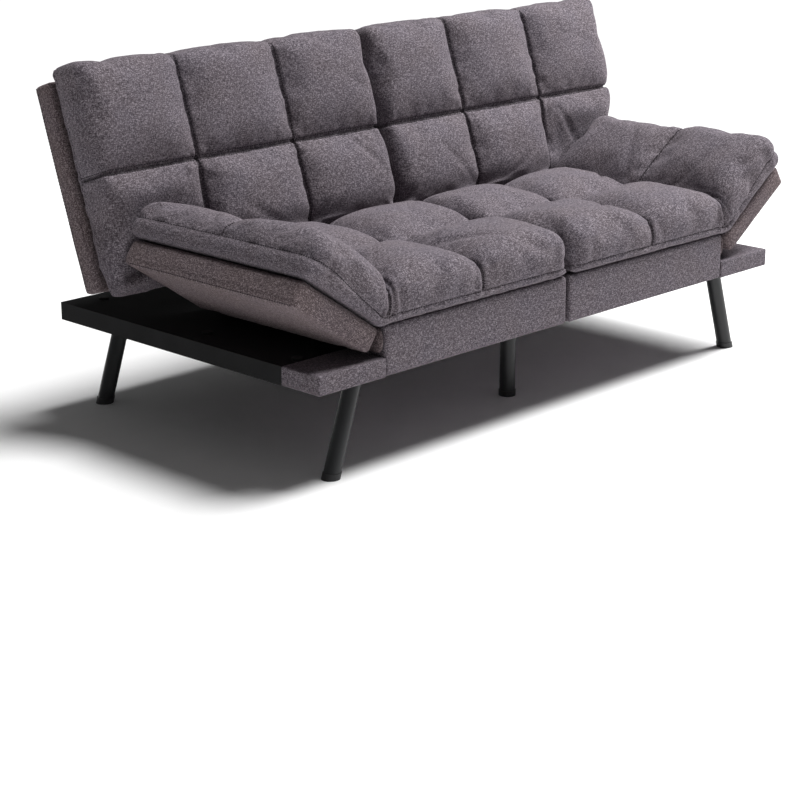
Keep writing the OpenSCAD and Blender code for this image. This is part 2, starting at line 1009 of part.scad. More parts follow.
left_tray_frame();
right_tray_frame();
left_ledge_cover();
right_ledge_cover();
left_front_wrap();
right_front_wrap();
left_dust_cover();
right_dust_cover();
left_seat_frame();
right_seat_frame();
left_seat_slats();
right_seat_slats();
left_seat_apron();
right_seat_apron();
left_seat_cushion();
right_seat_cushion();
left_arm_gussets();
right_arm_gussets();
tray_bumpers();
front_left_leg();
front_right_leg();
rear_left_leg();
rear_right_leg();
front_centre_leg();
rear_centre_leg();
foot_caps();
leg_plates();
leg_screws();
join_bolts();
join_nuts();
join_spacers();
left_back_hinge_plates();
right_back_hinge_plates();
left_back_hinge_pins();
right_back_hinge_pins();
left_arm_hinge_brackets();
right_arm_hinge_brackets();
left_arm_hinge_pins();
right_arm_hinge_pins();
left_back_core();
right_back_core();
left_back_cover();
right_back_cover();
left_back_cushion();
right_back_cushion();
left_back_hinge_straps();
right_back_hinge_straps();
left_arm_core();
right_arm_core();
left_arm_cover();
right_arm_cover();
left_arm_cushion();
right_arm_cushion();
left_arm_hinge_straps();
right_arm_hinge_straps();
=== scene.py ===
"""Futon sofa bed: upholstery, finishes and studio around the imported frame.

Every size is in metres in the frame's own axes: X to the right seen from the front,
Y towards the back, Z up.
"""
import math

import bpy
import numpy as np
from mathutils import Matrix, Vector, noise
from mathutils.bvhtree import BVHTree
from mathutils.interpolate import poly_3d_calc


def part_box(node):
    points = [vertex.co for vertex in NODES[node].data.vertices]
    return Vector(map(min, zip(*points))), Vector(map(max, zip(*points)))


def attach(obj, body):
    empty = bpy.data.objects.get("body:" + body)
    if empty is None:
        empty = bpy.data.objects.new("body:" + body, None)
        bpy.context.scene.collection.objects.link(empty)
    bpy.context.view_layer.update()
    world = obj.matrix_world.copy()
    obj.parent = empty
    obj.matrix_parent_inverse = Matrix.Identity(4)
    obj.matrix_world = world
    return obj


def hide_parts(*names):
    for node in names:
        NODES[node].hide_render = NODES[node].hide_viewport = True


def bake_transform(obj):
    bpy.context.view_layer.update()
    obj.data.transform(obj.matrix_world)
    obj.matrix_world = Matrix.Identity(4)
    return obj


bl_info = {
    "name": "Futon Sofa Bed",
    "version": (1, 0, 0),
    "blender": (4, 5, 0),
    "location": "View3D > Sidebar > Futon",
    "description": "Upholsters and finishes a split-back futon sofa bed",
    "category": "Object",
}

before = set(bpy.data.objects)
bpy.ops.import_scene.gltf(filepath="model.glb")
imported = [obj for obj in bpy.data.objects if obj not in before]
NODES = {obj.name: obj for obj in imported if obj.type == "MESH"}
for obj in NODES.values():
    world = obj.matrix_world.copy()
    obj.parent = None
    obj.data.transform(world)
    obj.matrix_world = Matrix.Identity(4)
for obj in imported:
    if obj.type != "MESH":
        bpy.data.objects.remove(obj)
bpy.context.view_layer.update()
SIDES = (("left", -1), ("right", 1))

# Places read from the frame
SEAT_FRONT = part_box("right_seat_apron")[0][1]
BOX_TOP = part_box("right_seat_apron")[1][2]
INNER_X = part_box("right_seat_apron")[0][0]
PIN_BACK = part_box("right_back_hinge_pins")
PIN_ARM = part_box("right_arm_hinge_pins")
BACK_PIVOT = ((PIN_BACK[0][1] + PIN_BACK[1][1]) / 2, (PIN_BACK[0][2] + PIN_BACK[1][2]) / 2)
ARM_PIVOT = ((PIN_ARM[0][0] + PIN_ARM[1][0]) / 2, (PIN_ARM[0][2] + PIN_ARM[1][2]) / 2)
# Turn of each panel from the flat bed to rest
BACK_FOLD = math.radians(71)
ARM_RISE = math.radians(34)
# Panels, drawn level: underside, corner radius, and how far the middle of a face stands proud
PANEL_LOW = 0.262
PANEL_EDGE = 0.014
PANEL_PUFF = 0.003
ARM_IN, ARM_OUT = 0.6205, 0.8905
ARM_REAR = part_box("right_arm_cover")[1][1]
ARM_STATIONS = (PIN_ARM[0][1] + 0.0105, PIN_ARM[1][1] - 0.0105)
BACK_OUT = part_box("right_back_cover")[1][0]
BACK_START, BACK_END = SEAT_FRONT + 0.560, SEAT_FRONT + 1.040


# Share of a gusset's length over which each end rounds off
GUSSET_TIP = 0.03
# Height of the mattress's lowest layer in the lattice, whose top becomes the welt
WELT_LAYER = 0.022
# Half the width of the room cut for each arm hinge strap
STRAP_ROOM = 0.0145


class FutonSizes(bpy.types.PropertyGroup):
    """Sizes of the upholstery."""

    pad_low: bpy.props.FloatProperty(
        name="Mattress underside", description="Height of the underside when the bed is flat",
        default=0.328, unit="LENGTH")
    pad_seam: bpy.props.FloatProperty(
        name="Seam height", description="Height of the quilting seams when the bed is flat",
        default=0.408, unit="LENGTH")
    crown: bpy.props.FloatProperty(
        name="Crown", description="How far the middle of a tuft stands above its seams",
        default=0.036, min=0.0, max=0.08, unit="LENGTH")
    back_crown: bpy.props.FloatProperty(
        name="Back crown", description="How far a back tuft stands above its seams",
        default=0.022, min=0.0, max=0.08, unit="LENGTH")
    column_pitch: bpy.props.FloatProperty(
        name="Column pitch", description="Distance between the seams that run front to back",
        default=0.3025, unit="LENGTH")
    seat_row: bpy.props.FloatProperty(
        name="Seat row", description="Front edge of the seat to its cross seam",
        default=0.268, unit="LENGTH")
    back_row: bpy.props.FloatProperty(
        name="Back row", description="Lower end of the back panel to its cross seam",
        default=0.249, unit="LENGTH")
    stitch: bpy.props.FloatProperty(
        name="Stitch pitch", description="Length of one topstitch with its gap",
        default=0.0075, unit="LENGTH")


class FutonColours(bpy.types.PropertyGroup):
    """Colours of the finishes, as sRGB hex."""

    cloth: bpy.props.StringProperty(
        name="Cloth", description="Middle tone of the heathered cloth", default="5A5359")
    cloth_light: bpy.props.StringProperty(
        name="Cloth light yarn", description="Pale yarn of the cloth", default="9C949B")
    cloth_dark: bpy.props.StringProperty(
        name="Cloth dark yarn", description="Dark yarn of the cloth", default="2B262B")
    board: bpy.props.StringProperty(
        name="Ledge", description="Black finish of the ledge", default="1C1C1D")
    steel: bpy.props.StringProperty(
        name="Legs", description="Powder coat on the legs", default="17181A")
    floor: bpy.props.StringProperty(
        name="Floor", description="Studio floor", default="F4F4F4")


def sizes():
    return bpy.context.scene.futon_sizes


def colours():
    return bpy.context.scene.futon_colours


# ---------------------------------------------------------------- materials

def linear(hex_text):
    """sRGB hex to a linear RGBA colour."""
    parts = [int(hex_text[i:i + 2], 16) / 255 for i in (0, 2, 4)]
    return [c / 12.92 if c <= 0.04045 else ((c + 0.055) / 1.055) ** 2.4 for c in parts] + [1.0]


def add(tree, kind, links=None, **settings):
    """Adds one node: settings are its properties or input values, links are its input links."""
    node = tree.nodes.new(kind)
    for key, value in settings.items():
        if hasattr(node, key):
            setattr(node, key, value)
        else:
            node.inputs[key.replace("_", " ")].default_value = value
    for key, source in (links or {}).items():
        tree.links.new(source, node.inputs[key])
    return node


def new_material(name):
    material = bpy.data.materials.new(name)
    material.use_nodes = True
    tree = material.node_tree
    tree.nodes.clear()
    shader = add(tree, "ShaderNodeBsdfPrincipled")
    out = add(tree, "ShaderNodeOutputMaterial", {"Surface": shader.outputs["BSDF"]})
    out.is_active_output = True
    return material, tree, shader


def ramp(tree, source, stops):
    """Colour ramp from (position, colour) stops."""
    node = add(tree, "ShaderNodeValToRGB", {"Fac": source})
    elements = node.color_ramp.elements
    while len(elements) < len(stops):
        elements.new(0.5)
    for element, (place, colour) in zip(elements, stops):
        element.position = place
        element.color = colour
    return node


def mix(tree, factor, first, second, blend_type="MIX"):
    """Mixes two colours or sockets and gives the result socket."""
    node = tree.nodes.new("ShaderNodeMix")
    node.data_type = "RGBA"
    node.blend_type = blend_type
    for socket, value in ((node.inputs[0], factor), (node.inputs[6], first), (node.inputs[7], second)):
        if isinstance(value, bpy.types.NodeSocket):
            tree.links.new(value, socket)
        else:
            socket.default_value = value
    return node.outputs[2]


def woven_cloth(name, base, light, dark, use_uv=True, fleck=1.0):
    """Heathered polyester linen, plain woven from slubbed melange yarn.

    Slubs every few millimetres in both directions give short pale and dark flecks, the loose
    fibre ends give a soft sheen, and the yarn takes dye unevenly in patches a hand wide.
    """
    material, tree, shader = new_material(name)
    coords = add(tree, "ShaderNodeTexCoord")
    where = coords.outputs["UV"] if use_uv else coords.outputs["Object"]

    def slubs(stretch, scale, seed):
        mapping = add(tree, "ShaderNodeMapping", {"Vector": where}, Scale=stretch,
                      Location=(seed, seed * 0.7, seed * 0.3))
        return add(tree, "ShaderNodeTexNoise", {"Vector": mapping.outputs["Vector"]},
                   Scale=scale, Detail=3.0, Roughness=0.62)

    # Yarns are 0.9 mm apart; drawn about 2 mm wide and 8 mm long so that they still show
    warp = slubs((1.0, 0.22, 1.0), 540.0 * fleck, 0.0)
    weft = slubs((0.22, 1.0, 1.0), 540.0 * fleck, 3.1)
    grain = slubs((1.0, 1.0, 1.0), 640.0 * fleck, 7.7)
    patches = add(tree, "ShaderNodeTexNoise", {"Vector": where}, Scale=9.0, Detail=2.0)

    threads = mix(tree, 0.5, warp.outputs["Fac"], weft.outputs["Fac"])
    threads = mix(tree, 0.4, threads, grain.outputs["Fac"])
    tone = ramp(tree, threads, [(0.425, linear(dark)), (0.488, linear(base)),
                                (0.512, linear(base)), (0.575, linear(light))])
    tint = ramp(tree, patches.outputs["Fac"], [(0.35, warmer_value(base, 0.012)),
                                               (0.65, cooler_value(base, 0.012))])
    colour = mix(tree, 0.18, tone.outputs["Color"], tint.outputs["Color"])
    tree.links.new(colour, shader.inputs["Base Color"])

    shader.inputs["Roughness"].default_value = 0.92
    shader.inputs["Specular IOR Level"].default_value = 0.25
    shader.inputs["Sheen Weight"].default_value = 0.22
    shader.inputs["Sheen Roughness"].default_value = 0.45
    shader.inputs["Sheen Tint"].default_value = linear(light)
    bump = add(tree, "ShaderNodeBump", {"Height": threads}, Strength=0.55, Distance=0.0012)
    tree.links.new(bump.outputs["Normal"], shader.inputs["Normal"])
    return material


def warmer_value(base, amount):
    colour = linear(base)
    return [colour[0] + amount, colour[1], colour[2] - amount * 0.6, 1.0]


def cooler_value(base, amount):
    colour = linear(base)
    return [colour[0] - amount * 0.4, colour[1] - amount * 0.2, colour[2] + amount, 1.0]


def coated(name, colour, roughness, grain_mm, bump_mm, metallic=0.0, coat=0.0, vary=0.12,
           specular=0.5):
    """A plain finish with a fine surface grain: paint, powder coat, plastic, rubber or zinc."""
    material, tree, shader = new_material(name)
    coords = add(tree, "ShaderNodeTexCoord")
    fine = add(tree, "ShaderNodeTexNoise", {"Vector": coords.outputs["Object"]},
               Scale=1000.0 / grain_mm / 2.0, Detail=2.0)
    wide = add(tree, "ShaderNodeTexNoise", {"Vector": coords.outputs["Object"]}, Scale=14.0, Detail=3.0)
    base = linear(colour)
    low = [c * (1 - vary) for c in base[:3]] + [1.0]
    high = [min(1.0, c * (1 + vary) + 0.0015) for c in base[:3]] + [1.0]
    tone = ramp(tree, wide.outputs["Fac"], [(0.3, low), (0.7, high)])
    tree.links.new(tone.outputs["Color"], shader.inputs["Base Color"])
    rough = add(tree, "ShaderNodeMapRange", {"Value": fine.outputs["Fac"]},
                To_Min=max(0.05, roughness - 0.07), To_Max=min(1.0, roughness + 0.07))
    tree.links.new(rough.outputs["Result"], shader.inputs["Roughness"])
    shader.inputs["Metallic"].default_value = metallic
    shader.inputs["Specular IOR Level"].default_value = specular
    if coat:
        shader.inputs["Coat Weight"].default_value = coat
        shader.inputs["Coat Roughness"].default_value = 0.25
    bump = add(tree, "ShaderNodeBump", {"Height": fine.outputs["Fac"]},
               Strength=0.5, Distance=bump_mm / 1000.0)
    tree.links.new(bump.outputs["Normal"], shader.inputs["Normal"])
    return material


def sawn_timber(name, early, late, ring_mm):
    """Planed softwood or beech: growth rings show as long bands, with fine pores along the grain."""
    material, tree, shader = new_material(name)
    coords = add(tree, "ShaderNodeTexCoord")
    mapping = add(tree, "ShaderNodeMapping", {"Vector": coords.outputs["Object"]}, Scale=(0.06, 1.0, 1.0))
    rings = add(tree, "ShaderNodeTexWave", {"Vector": mapping.outputs["Vector"]},
                Scale=1000.0 / ring_mm / 6.0, Distortion=5.0, Detail=2.0, Detail_Scale=1.5)
    pores = add(tree, "ShaderNodeTexNoise", {"Vector": mapping.outputs["Vector"]}, Scale=900.0, Detail=2.0)
    tone = ramp(tree, rings.outputs["Fac"], [(0.15, linear(early)), (0.85, linear(late))])
    colour = mix(tree, 0.18, tone.outputs["Color"], pores.outputs["Color"], "OVERLAY")
    tree.links.new(colour, shader.inputs["Base Color"])
    shader.inputs["Roughness"].default_value = 0.6
    bump = add(tree, "ShaderNodeBump", {"Height": pores.outputs["Fac"]}, Strength=0.3, Distance=0.0004)
    tree.links.new(bump.outputs["Normal"], shader.inputs["Normal"])
    return material


_materials = {}


def finishes():
    """All finishes, made once."""
    if _materials:
        return _materials
    tone = colours()
    _materials["linen"] = woven_cloth("Heathered woven polyester linen", tone.cloth, tone.cloth_light,
                                      tone.cloth_dark)
    # Panels and gussets take a warmer copy of the cloth, tinted the way the cloth looks in shadow: painted
    # shade
    _materials["linen_painted_shade"] = woven_cloth("Heathered linen with painted shade on panels", "594E50", "988B8D", "2B2426")
    # The thread is drawn much darker than the cloth: its own colour darkened with painted shade, so that it
    # also draws the shadow in the seam channels
    _materials["thread"] = woven_cloth("Bonded polyester topstitch thread", "2B272B", "3A353A", "1B181B",
                                       False, 2.5)
    # Black laminated board: dead black with a faint film grain
    _materials["board"] = coated("Black paper-laminated board", tone.board, 0.85, 1.2, 0.06, specular=0.2)
    # Powder coat: satin black with a slight orange peel
    _materials["powder"] = coated("Satin black powder coat on steel", tone.steel, 0.45, 2.0, 0.10, coat=0.1,
                                   specular=0.35)
    _materials["cap"] = coated("Moulded polypropylene foot cap", "1C1C1E", 0.5, 0.8, 0.05)
    _materials["rubber"] = coated("Moulded rubber bumper", "151515", 0.85, 0.9, 0.08)
    _materials["zinc"] = coated("Zinc-plated steel fastener", "B8BCC2", 0.35, 1.0, 0.03, metallic=1.0)
    _materials["hinge"] = coated("Phosphated steel hinge", "4A4A4E", 0.48, 1.4, 0.05, metallic=1.0)
    _materials["slat"] = sawn_timber("Planed birch slat", "D9BF94", "BF9C69", 2.5)
    _materials["pine"] = sawn_timber("Sawn pine frame", "D8B98A", "B78B54", 4.0)
    # Timber that can be glimpsed through gaps is drawn near black, so that the gaps stay dark: painted shade
    _materials["pine_painted_gap_shade"] = sawn_timber("Pine darkened as painted gap shade", "2B2724", "1C1917", 4.0)
    _materials["dust"] = woven_cloth("Spun-bonded black dust cloth", "161517", "232224", "0B0B0B", False, 1.4)
    return _materials


# ---------------------------------------------------------------- mesh help

def new_piece(name, points, faces, material, smooth=True):
    mesh = bpy.data.meshes.new(name)
    mesh.from_pydata([tuple(p) for p in points], [], [tuple(f) for f in faces])
    mesh.update()
    piece = bpy.data.objects.new(name, mesh)
    bpy.context.scene.collection.objects.link(piece)
    mesh.materials.append(material)
    mesh.shade_smooth() if smooth else mesh.shade_flat()
    return piece


def only(piece):
    """Makes a piece the one selected and active object."""
    bpy.ops.object.select_all(action="DESELECT")
    bpy.context.view_layer.objects.active = piece
    piece.select_set(True)


def apply_modifiers(piece):
    only(piece)
    for modifier in list(piece.modifiers):
        bpy.ops.object.modifier_apply(modifier=modifier.name)


def coords_of(piece):
    out = np.empty(len(piece.data.vertices) * 3)
    piece.data.vertices.foreach_get("co", out)
    return out.reshape(-1, 3)


def set_coords(piece, points):
    piece.data.vertices.foreach_set("co", np.asarray(points, float).ravel())
    piece.data.update()


def normals_of(piece):
    out = np.empty(len(piece.data.vertices) * 3)
    piece.data.vertices.foreach_get("normal", out)
    return out.reshape(-1, 3)


def set_vectors(piece, name, values):
    layer = piece.data.attributes.new(name, "FLOAT_VECTOR", "POINT")
    layer.data.foreach_set("vector", np.asarray(values, float).ravel())


def get_vectors(piece, name):
    layer = piece.data.attributes[name]
    out = np.empty(len(layer.data) * 3)
    layer.data.foreach_get("vector", out)
    return out.reshape(-1, 3)


def lay_uv(piece, flat=None):
    """Box-projects a UV map in metres from the flat pattern, so that the weave follows the cloth."""
    mesh = piece.data
    flat = coords_of(piece) if flat is None else np.asarray(flat)
    while mesh.uv_layers:
        mesh.uv_layers.remove(mesh.uv_layers[0])
    layer = mesh.uv_layers.new(name="weave")
    out = np.empty((len(mesh.loops), 2))
    for polygon in mesh.polygons:
        corner = flat[list(polygon.vertices)]
        across = np.cross(corner[2] - corner[0], corner[-1] - corner[1])
        axis = int(np.argmax(np.abs(across)))
        keep = ((1, 2), (0, 2), (0, 1))[axis]
        out[polygon.loop_start:polygon.loop_start + polygon.loop_total] = corner[:, keep]
    layer.data.foreach_set("uv", out.ravel())


def smoothstep(x):
    x = np.clip(x, 0, 1)
    return x * x * (3 - 2 * x)


def spread(stops, count, bunch=0.5):
    """Lattice lines: count steps between each pair of stops, closer together at the stops."""
    lines = [stops[0]]
    for low, high in zip(stops, stops[1:]):
        t = np.arange(1, count + 1) / count
        lines += list(low + (high - low) * (t - bunch * np.sin(2 * math.pi * t) / (2 * math.pi)))
    return np.array(lines)


def shell(xs, ys, zs):
    """Closed shell of quads on the six faces of a lattice, faces outward."""
    nx, ny, nz = len(xs), len(ys), len(zs)
    seen, points, faces = {}, [], []

    def at(i, j, k):
        key = (i, j, k)
        if key not in seen:
            seen[key] = len(points)
            points.append((xs[i], ys[j], zs[k]))
        return seen[key]

    for i in range(nx - 1):
        for j in range(ny - 1):
            faces.append((at(i, j, 0), at(i, j + 1, 0), at(i + 1, j + 1, 0), at(i + 1, j, 0)))
            k = nz - 1
            faces.append((at(i, j, k), at(i + 1, j, k), at(i + 1, j + 1, k), at(i, j + 1, k)))
    for i in range(nx - 1):
        for k in range(nz - 1):
            faces.append((at(i, 0, k), at(i + 1, 0, k), at(i + 1, 0, k + 1), at(i, 0, k + 1)))
            j = ny - 1
            faces.append((at(i, j, k), at(i, j, k + 1), at(i + 1, j, k + 1), at(i + 1, j, k)))
    for j in range(ny - 1):
        for k in range(nz - 1):
            faces.append((at(0, j, k), at(0, j, k + 1), at(0, j + 1, k + 1), at(0, j + 1, k)))
            i = nx - 1
            faces.append((at(i, j, k), at(i, j + 1, k), at(i, j + 1, k + 1), at(i, j, k + 1)))
    return np.array(points), faces


def round_box(points, low, high, r_low, r_high):
    """Rounds a box shell: r_low round the underside, r_high round the top. Gives places and normals."""
    low, high = np.array(low), np.array(high)
    t = smoothstep((points[:, 2] - low[2] - r_low) / (high[2] - low[2] - r_low - r_high))
    r = r_low + (r_high - r_low) * t
    core = points.copy()
    for axis in range(3):
        core[:, axis] = np.clip(points[:, axis], low[axis] + r, high[axis] - r)
    away = points - core
    length = np.linalg.norm(away, axis=1, keepdims=True)
    normal = away / np.maximum(length, 1e-9)
    return core + normal * r[:, None], normal


def noise_at(points, scale, seed):
    """Smooth noise from -1 to 1 at each point."""
    shift = Vector((seed * 13.1, seed * 7.7, seed * 3.3))
    return np.array([noise.noise(Vector(p) * scale + shift) for p in points])


def turn(points, pivot, angle, plane):
    """Rotates points by an angle each about a pivot, in the plane of two axes."""
    a, b = plane
    out = points.copy()
    da, db = points[:, a] - pivot[0], points[:, b] - pivot[1]
    c, s = np.cos(angle), np.sin(angle)
    out[:, a] = pivot[0] + da * c - db * s
    out[:, b] = pivot[1] + da * s + db * c
    return out


def fold(points, pivot, total, plane, start, end):
    """Folds flat points about a hinge so that unfolding by the same blend gives them back.

    start and end are distances from the hinge line, along its bisector, between which the
    cloth turns.
    """
    a, b = plane
    half = total / 2
    along = (math.cos(half), math.sin(half))
    low, high = np.zeros(len(points)), np.ones(len(points))
    for _ in range(40):
        w = (low + high) / 2
        p = turn(points, pivot, w * total, plane)
        q = (p[:, a] - pivot[0]) * along[0] + (p[:, b] - pivot[1]) * along[1]
        wanted = smoothstep((q - start) / (end - start))
        low, high = np.where(wanted > w, w, low), np.where(wanted > w, high, w)
    return turn(points, pivot, (low + high) / 2 * total, plane)


def settle_cloth(piece, held, frames=20, pressure=4.0, growth=0.03, cap=0.022):
    """Lets the cover billow over its filling between the held seams, and keeps the result."""
    start = coords_of(piece)
    group = piece.vertex_groups.new(name="held")
    for index, weight in enumerate(held):
        if weight > 0:
            group.add([index], float(weight), "REPLACE")
    scene = bpy.context.scene
    modifier = piece.modifiers.new("cover", "CLOTH")
    cloth = modifier.settings
    cloth.quality = 5
    cloth.mass = 0.3
    cloth.tension_stiffness = 18
    cloth.compression_stiffness = 18
    cloth.shear_stiffness = 6
    cloth.bending_stiffness = 0.25
    cloth.vertex_group_mass = "held"
    cloth.use_pressure = True
    cloth.uniform_pressure_force = pressure
    cloth.shrink_min = -growth
    cloth.effector_weights.gravity = 0
    modifier.collision_settings.use_collision = False
    modifier.collision_settings.use_self_collision = False
    modifier.point_cache.frame_start = 1
    modifier.point_cache.frame_end = frames
    for number in range(1, frames + 1):
        scene.frame_set(number)
    ready = piece.evaluated_get(bpy.context.evaluated_depsgraph_get())
    out = np.empty(len(ready.data.vertices) * 3)
    ready.data.vertices.foreach_get("co", out)
    move = out.reshape(-1, 3) - start
    piece.modifiers.remove(modifier)
    piece.vertex_groups.remove(group)
    scene.frame_set(1)
    if not np.isfinite(move).all():
        raise RuntimeError(f"{piece.name}: the cloth did not settle")
    length = np.linalg.norm(move, axis=1, keepdims=True)
    move *= np.minimum(1.0, cap / np.maximum(length, 1e-9))
    set_coords(piece, start + move)


def subdivide(piece, levels=1):
    modifier = piece.modifiers.new("smooth", "SUBSURF")
    modifier.levels = modifier.render_levels = levels
    apply_modifiers(piece)


def mirror_half(points, faces, side):
    """The right half as made, or its mirror image for the left half."""
    if side > 0:
        return points, faces
    return points * (-1, 1, 1), [tuple(reversed(f)) for f in faces]


# ---------------------------------------------------------------- tufted mattress

class Quilt:
    """One tufted mattress section, drawn flat for the right half and then folded."""

    def __init__(self, x_stops, y_stops, low, seam_z, open_y=(False, False), arm_ease=0.0, power=3.0,
                 welt_rise=0.024, welt_low=0.022, arm_flat=(0.0, 0.0)):
        self.xs, self.ys = x_stops, y_stops
        self.low, self.seam_z = low, seam_z
        self.open_y = open_y
        self.arm_ease, self.power = arm_ease, power
        self.welt_rise, self.welt_low = welt_rise, welt_low
        self.arm_flat = arm_flat
        self.column = x_stops[1:-1]
        self.row = y_stops[1:-1]

    def welt(self, x):
        """Height of the seam round the side: low at the front, halfway up at the free end."""
        on_arm = smoothstep((np.asarray(x) - self.xs[2] - 0.05) / 0.2)
        return self.low + self.welt_low + self.welt_rise * on_arm

    def lattice(self, across, along):
        rise = self.seam_z - self.low
        zs = self.low + np.array([0, 0.006, 0.013, WELT_LAYER, 0.031, 0.042, 0.054, 0.066, rise])
        points, faces = shell(spread(self.xs, across), spread(self.ys, along), zs)
        welt = self.welt(points[:, 0])
        under = points[:, 2] < self.low + WELT_LAYER
        z = points[:, 2]
        lower = self.low + (z - self.low) / WELT_LAYER * (welt - self.low)
        upper = welt + (z - self.low - WELT_LAYER) / (rise - WELT_LAYER) * (self.seam_z - welt)
        points[:, 2] = np.where(under, lower, upper)
        return points, faces

    def tuft(self, values, stops, edge):
        """0 on a seam, 1 in the middle of a tuft; edge is how low it falls at an outer edge."""
        out = np.ones(len(values))
        for number, (low, high) in enumerate(zip(stops, stops[1:])):
            inside = (values >= low) & (values <= high)
            half = (high - low) / 2
            for place, first in ((low, number == 0), (high, number == len(stops) - 2)):
                e = np.clip(np.abs(values - place) / half, 0, 1)
                drop = edge if first else 1.0
                part = 1 - drop * (1 - e) ** self.power
                out = np.where(inside, out * part, out)
        return out

    def shape(self, points, crown, side_crown, r_low, r_high):
        low = (self.xs[0] + side_crown * 0.5, self.ys[0] + side_crown, self.low)
        high = (self.xs[-1] - side_crown, self.ys[-1] - side_crown * 0.5, self.seam_z)
        inner = points.copy()
        # Seams keep their place, and only the outer cells give up room for the side's swell
        for axis, stops in ((0, self.xs), (1, self.ys)):
            inner[:, axis] = np.interp(points[:, axis], stops, [low[axis], *stops[1:-1], high[axis]])
        place, normal = round_box(inner, low, high, r_low, r_high)
        rows = self.tuft(points[:, 1], self.ys, 0.25)
        rows = 1 - (1 - rows) * (1 - self.arm_ease * smoothstep((points[:, 0] - self.xs[2]) / 0.10))
        swell = self.tuft(points[:, 0], self.xs, 0.25) * rows
        up = normal[:, 2]
        top = np.clip(up, 0, 1) ** 1.5
        side = 1 - np.abs(up)
        welt = self.welt(points[:, 0])
        above = smoothstep((points[:, 2] - welt) / 0.030)
        below = np.clip((welt - points[:, 2]) / WELT_LAYER, 0, 1)
        belly = above * swell + (1 - above) * 0.55 * np.sin(math.pi * below) * (below > 0)
        # The arm is filled more thinly, and most thinly at the back
        on_arm = smoothstep((points[:, 0] - self.xs[2] + 0.02) / 0.12)
        behind = smoothstep((points[:, 1] - self.row[0] + 0.05) / 0.12)
        thin = on_arm * (self.arm_flat[0] + (self.arm_flat[1] - self.arm_flat[0]) * behind)
        move = top * crown * (swell * (1 - thin)) + side * side_crown * belly
        place[:, 2] -= thin * 0.012 * smoothstep((points[:, 2] - self.welt(points[:, 0])) / 0.02)
        return place + normal * move[:, None]

    def held(self, points):
        """Seams, underside and welt are held while the cover billows."""
        held = np.zeros(len(points))
        top = points[:, 2] > self.seam_z - 1e-6
        for x in self.column:
            held[(np.abs(points[:, 0] - x) < 1e-6)] = 1
        for y in self.row:
            held[top & (np.abs(points[:, 1] - y) < 1e-6)] = 1
        held[points[:, 2] < self.low + 1e-6] = 1
        held[np.abs(points[:, 2] - self.welt(points[:, 0])) < 1e-6] = 1
        for y, open_end in zip((self.ys[0], self.ys[-1]), self.open_y):
            if open_end:
                held[np.abs(points[:, 1] - y) < 1e-6] = 1
        return held

    def details(self, flat, normal_z, seed):
        """Height to add along the normal: seam channels, puckers, creases and soft lumps."""
        x, y, z = flat.T
        top = smoothstep((z - self.welt(x) - 0.012) / 0.03)
        add_up = np.zeros(len(flat))
        lumps = noise_at(flat, 11.0, seed) * 0.0022 + noise_at(flat, 27.0, seed + 1) * 0.0008
        add_up += lumps * top
        fine = noise_at(flat * (1, 1, 0.5), 70.0, seed + 2)
        for places, axis, other in ((self.column, x, y), (self.row, y, x)):
            for place in places:
                d = np.abs(axis - place)
                channel = np.exp(-(d / 0.0044) ** 2)
                # The free end is bound flat, so seams hardly notch it
                bound = 1 - 0.65 * smoothstep((y - self.ys[-1] + 0.04) / 0.03) * self.open_y[0]
                add_up -= 0.0100 * channel * bound * (z > self.welt(x) + 0.002)
                stretched = np.stack([other * 75.0, d * 9.0 + place * 31.0, z * 6.0], axis=1)
                near = d < 0.06
                ridges = np.zeros(len(flat))
                ridges[near] = noise_at(stretched[near], 1.0, seed + 3)
                window = np.exp(-d / 0.016) * (1 - np.exp(-(d / 0.005) ** 2))
                add_up += 0.0042 * ridges * window * top
        # Upright puckers on the side above and below the welt
        side = 1 - np.abs(normal_z)
        run = np.stack([x * 62.0, y * 62.0, z * 7.0], axis=1)
        pucker = noise_at(run, 1.0, seed + 4)
        dz = z - self.welt(x)
        window = np.exp(-np.abs(dz) / 0.022) * (1 - np.exp(-(dz / 0.004) ** 2))
        add_up += 0.0045 * pucker * window * side
        add_up -= 0.0030 * np.exp(-(dz / 0.0026) ** 2) * side
        return add_up + fine * 0.0002


def blended_quilt(piece_name, quilt, side, seed, counts, crown, side_crown, radii, fold_args,
                  warp=None, creases=None, cap=0.02, growth=0.03, pressure=4.0):
    """Builds a mattress section for one side and gives the piece with its flat pattern."""
    points, faces = quilt.lattice(*counts)
    level = quilt.shape(points, crown, side_crown, *radii)
    if warp is not None:
        level = warp(level)
    rest = fold(level, *fold_args)
    held = quilt.held(points)
    rest, faces_out = mirror_half(rest, faces, side)
    piece = new_piece(piece_name, rest, faces_out, finishes()["linen"])
    set_vectors(piece, "flat", points)
    settle_cloth(piece, held, cap=cap, growth=growth, pressure=pressure)
    subdivide(piece)
    flat = get_vectors(piece, "flat")
    normal = normals_of(piece)
    extra = quilt.details(flat, level_up(flat, quilt), seed)
    if creases is not None:
        extra += creases(flat)
    set_coords(piece, coords_of(piece) + normal * extra[:, None])
    lay_uv(piece, flat)
    return piece, flat


def level_up(flat, quilt):
    """How much each point faces up on the flat mattress: 1 on top, 0 on its sides."""
    edge_x = np.minimum(flat[:, 0] - quilt.xs[0], quilt.xs[-1] - flat[:, 0])
    edge_y = np.minimum(flat[:, 1] - quilt.ys[0], quilt.ys[-1] - flat[:, 1])
    edge = np.minimum(edge_x, edge_y)
    return smoothstep(edge / 0.035)


